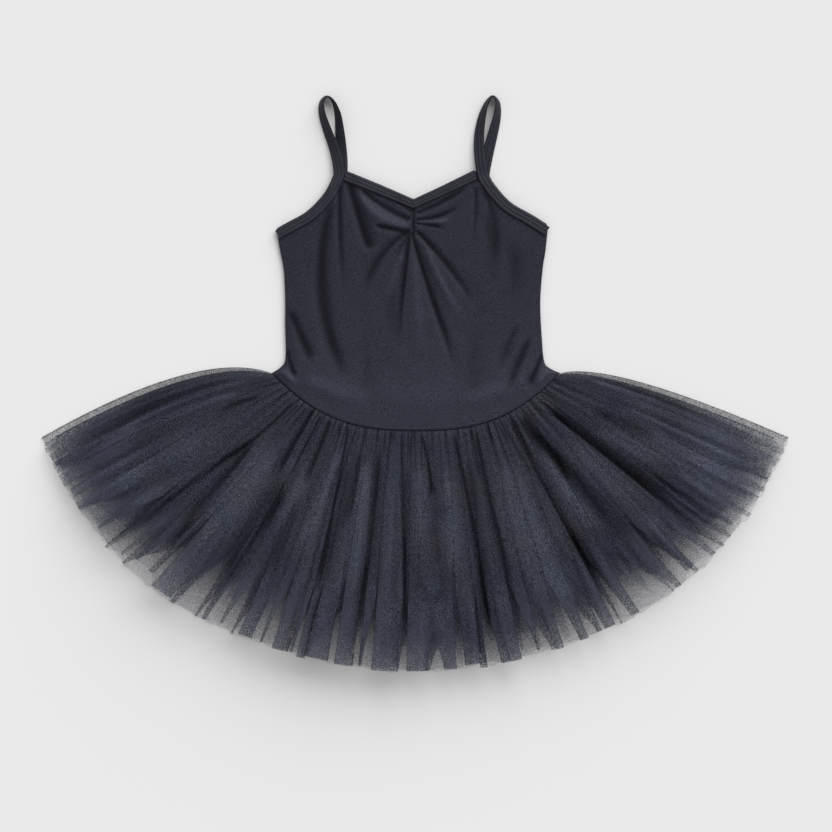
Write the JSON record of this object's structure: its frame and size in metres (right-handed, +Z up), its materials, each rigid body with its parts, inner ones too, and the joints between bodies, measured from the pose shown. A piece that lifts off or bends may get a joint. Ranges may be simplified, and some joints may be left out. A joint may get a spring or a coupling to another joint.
{
  "type": "child's ballet tutu dress",
  "caption": "Child's ballet tutu dress laid flat: camisole bodice with a gathered V neck, bound edges, looped shoulder straps and a full layered net skirt.",
  "frame": {"origin": "middle of the outline seen from above, on the surface that the dress lies on", "axes": "+Y from the skirt to the shoulder straps, +X to the right as seen from above, +Z up through the front"},
  "size_m": [0.7462, 0.5758, 0.0351],
  "materials": {
    "knit": "satin",
    "binding": "satin",
    "net": "matte"
  },
  "bodies": {
    "root": {"bodice_front": "knit", "bodice_back": "knit", "neck_binding_front": "binding", "neck_binding_back": "binding", "strap_left": "binding", "strap_right": "binding", "skirt_outer": "net", "skirt_middle": "net", "skirt_inner": "net"}
  },
  "joints": []
}
